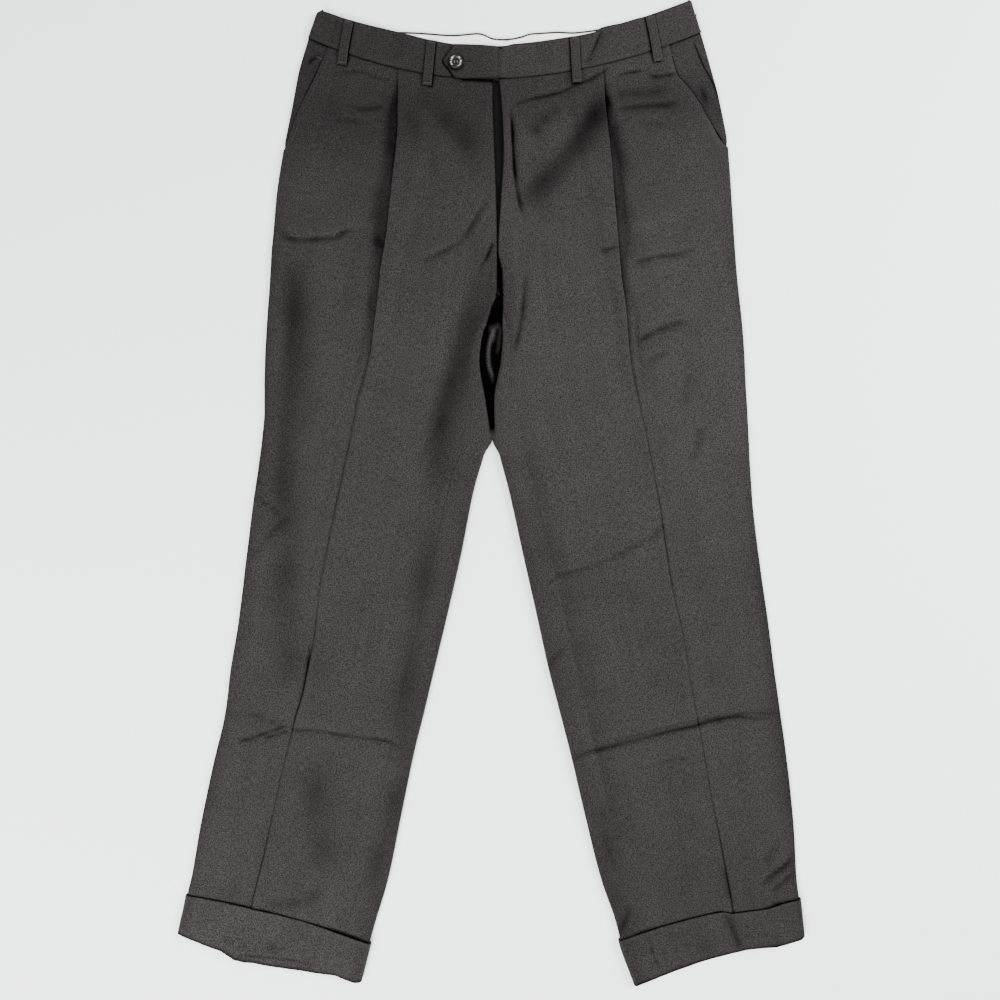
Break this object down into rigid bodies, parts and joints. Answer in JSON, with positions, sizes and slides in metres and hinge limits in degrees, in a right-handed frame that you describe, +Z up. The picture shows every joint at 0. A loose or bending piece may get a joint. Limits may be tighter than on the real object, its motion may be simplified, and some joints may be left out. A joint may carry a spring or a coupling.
{
  "type": "pleated dress trousers",
  "caption": "Pleated wool dress trousers laid flat face up, with pressed creases, turn-ups, belt loops, slanted pockets and a buttoned waistband tab.",
  "frame": {"origin": "middle of the underside's bounding rectangle, on the surface that the trousers lie on", "axes": "+Y from the hems to the waist, +X to the wearer's left, +Z up out of the front"},
  "size_m": [0.6832, 1.0704, 0.0117],
  "materials": {
    "wool": "fine charcoal worsted with a slight sheen",
    "lining": "smooth off-white twill",
    "fly_shield": "dark twill",
    "horn": "dark marbled horn, satin polish"
  },
  "bodies": {
    "root": {"front_right": "wool", "front_left": "wool", "back_right": "wool", "back_left": "wool", "pocket_facing_right": "wool", "pocket_facing_left": "wool", "cuff_right": "wool", "cuff_left": "wool", "waistband_right": "wool", "waistband_left": "wool", "waistband_lining": "lining", "fly_shield": "fly_shield", "belt_loop_front_right_side": "wool", "belt_loop_front_right": "wool", "belt_loop_front_left": "wool", "belt_loop_front_left_side": "wool", "belt_loop_back_right": "wool", "belt_loop_back_centre": "wool", "belt_loop_back_left": "wool", "button": "horn"}
  },
  "joints": []
}
